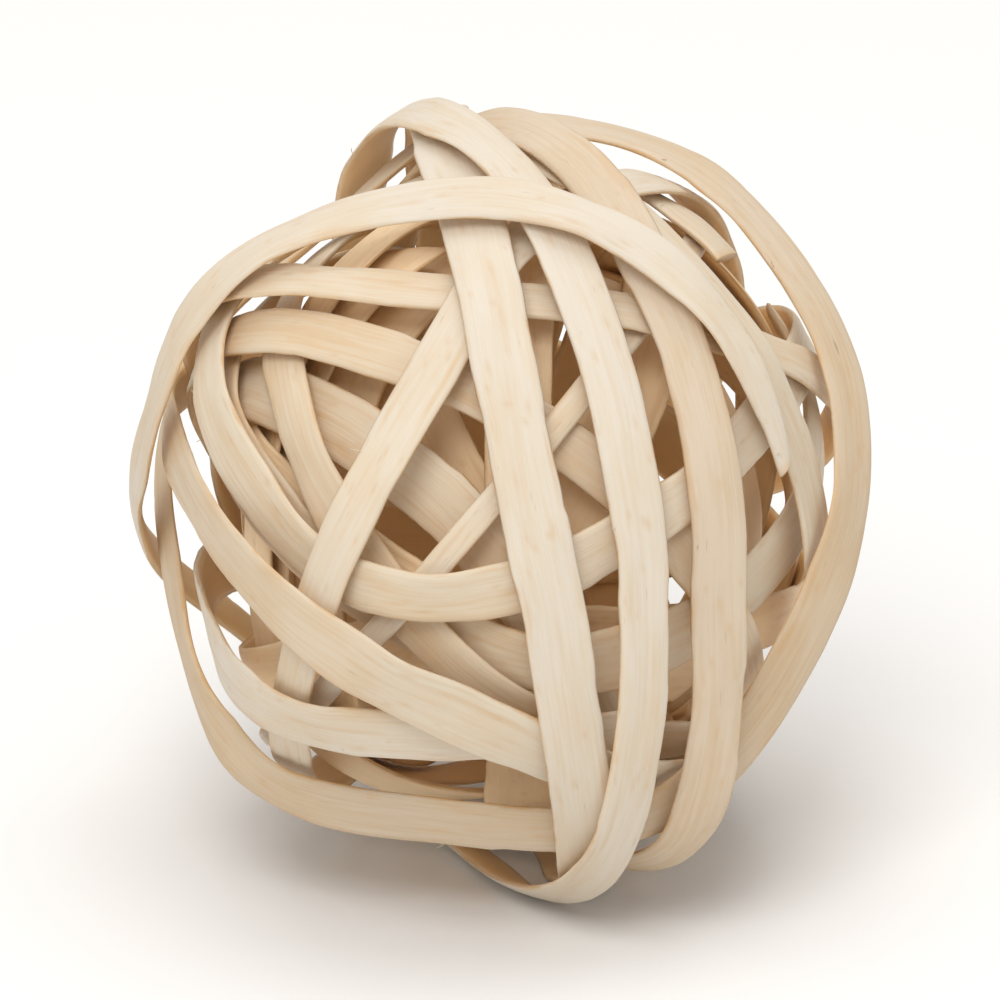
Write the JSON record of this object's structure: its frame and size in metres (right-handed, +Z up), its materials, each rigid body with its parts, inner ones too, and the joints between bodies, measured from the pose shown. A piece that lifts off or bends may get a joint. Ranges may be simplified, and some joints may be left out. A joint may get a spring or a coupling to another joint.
{
  "type": "decorative ball of wound cane strips",
  "caption": "Hollow decorative ball hand-wound from long flat strips of peeled cane, lying on a small flat spot.",
  "frame": {"origin": "under the middle of the ball, on the flat spot that it lies on", "axes": "+Z up, -Y towards the side where three upright passes cross the wide slanting one"},
  "size_m": [0.0498, 0.0524, 0.0504],
  "materials": {
    "bleached_cane": "dry, peeled and bleached, fine lengthwise fibres",
    "cream_cane": "dry, peeled, fine lengthwise fibres",
    "tan_cane": "dry, peeled, darker and less bleached"
  },
  "bodies": {
    "root": {"core_strip_1": "tan_cane", "core_strip_2": "cream_cane", "core_strip_3": "tan_cane", "outer_strip_1": "cream_cane", "outer_strip_2": "cream_cane", "outer_strip_3": "bleached_cane", "outer_strip_4": "cream_cane", "outer_strip_5": "bleached_cane", "outer_strip_6": "cream_cane", "outer_strip_7": "tan_cane", "outer_strip_8": "bleached_cane"}
  },
  "joints": []
}
